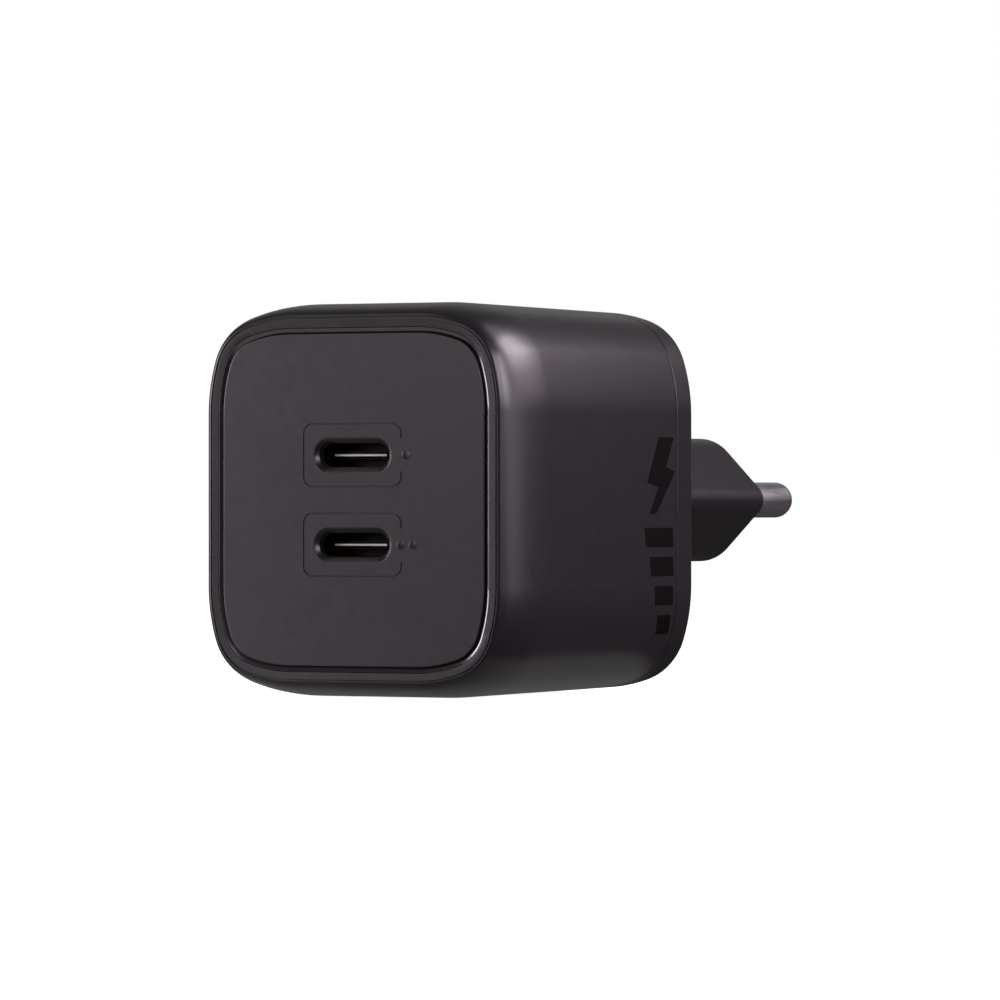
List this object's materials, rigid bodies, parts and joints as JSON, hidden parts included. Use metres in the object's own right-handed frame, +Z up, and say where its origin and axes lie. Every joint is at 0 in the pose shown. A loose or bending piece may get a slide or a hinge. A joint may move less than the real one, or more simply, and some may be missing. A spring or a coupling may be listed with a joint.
{
  "type": "usb wall charger",
  "caption": "Compact soft-cornered USB wall charger with stacked upright-mounted USB-C receptacles in its front plate and a flat round-pin plug on its back.",
  "frame": {"origin": "centre of the plug's engagement face, the flat end of the neck between the two pins", "axes": "+Y along the pins towards the wall socket, -Y out of the USB receptacles, +Z up with the two receptacles one above the other, +X to the right seen from the front"},
  "size_m": [0.0396, 0.0763, 0.042],
  "materials": {
    "housing_plastic": "fine moulded texture, satin charcoal",
    "trim_plastic": "gloss, charcoal",
    "plate_plastic": "very fine moulded texture, charcoal",
    "cover_plastic": "fine moulded texture, charcoal",
    "pin_nickel": "satin nickel plate",
    "sleeve_plastic": "smooth black",
    "contact_strip": "stamped strip",
    "receptacle_steel": "drawn steel, dark plated",
    "tongue_plastic": "black liquid-crystal polymer",
    "gold_contacts": "gold flash over copper alloy",
    "circuit_board": "green solder mask on glass-epoxy",
    "ferrite": "sintered, dull dark grey",
    "bobbin_plastic": "phenolic moulding",
    "winding_copper": "enamelled copper wire",
    "capacitor_sleeve": "sleeved can",
    "film_capacitor_case": "yellow box case",
    "ceramic_blue": "dipped epoxy coat",
    "ceramic_green": "dipped epoxy coat",
    "fuse_body": "ceramic tube with plated caps",
    "chip_epoxy": "moulding compound",
    "spreader_metal": "rolled sheet",
    "thermal_silicone": "soft filled silicone",
    "insulating_sheet": "polyester film"
  },
  "bodies": {
    "root": {"main_housing": "housing_plastic", "front_trim_ring": "trim_plastic", "front_plate": "plate_plastic", "rear_cover": "cover_plastic", "plug_pin_left": "pin_nickel", "plug_pin_right": "pin_nickel", "pin_sleeve_left": "sleeve_plastic", "pin_sleeve_right": "sleeve_plastic", "pin_contact_left": "contact_strip", "pin_contact_right": "contact_strip", "usb_shell_upper": "receptacle_steel", "usb_shell_lower": "receptacle_steel", "usb_tongue_upper": "tongue_plastic", "usb_tongue_lower": "tongue_plastic", "usb_contacts_upper": "gold_contacts", "usb_contacts_lower": "gold_contacts", "output_board": "circuit_board", "main_board": "circuit_board", "input_board": "circuit_board", "transformer_core_lower": "ferrite", "transformer_core_upper": "ferrite", "transformer_bobbin": "bobbin_plastic", "transformer_winding": "winding_copper", "bulk_capacitor_front": "capacitor_sleeve", "bulk_capacitor_rear": "capacitor_sleeve", "choke_core": "ferrite", "choke_windings": "winding_copper", "x_capacitor": "film_capacitor_case", "y_capacitor": "ceramic_blue", "varistor": "ceramic_blue", "thermistor": "ceramic_green", "input_fuse": "fuse_body", "bridge_rectifier": "chip_epoxy", "power_switch": "chip_epoxy", "sync_rectifier": "chip_epoxy", "optocoupler": "chip_epoxy", "port_controllers": "chip_epoxy", "output_capacitors": "capacitor_sleeve", "buck_inductor_upper": "ferrite", "buck_inductor_lower": "ferrite", "input_link_pins": "contact_strip", "output_link_pins": "contact_strip", "heat_spreader": "spreader_metal", "thermal_pad": "thermal_silicone", "insulation_film": "insulating_sheet"}
  },
  "joints": []
}
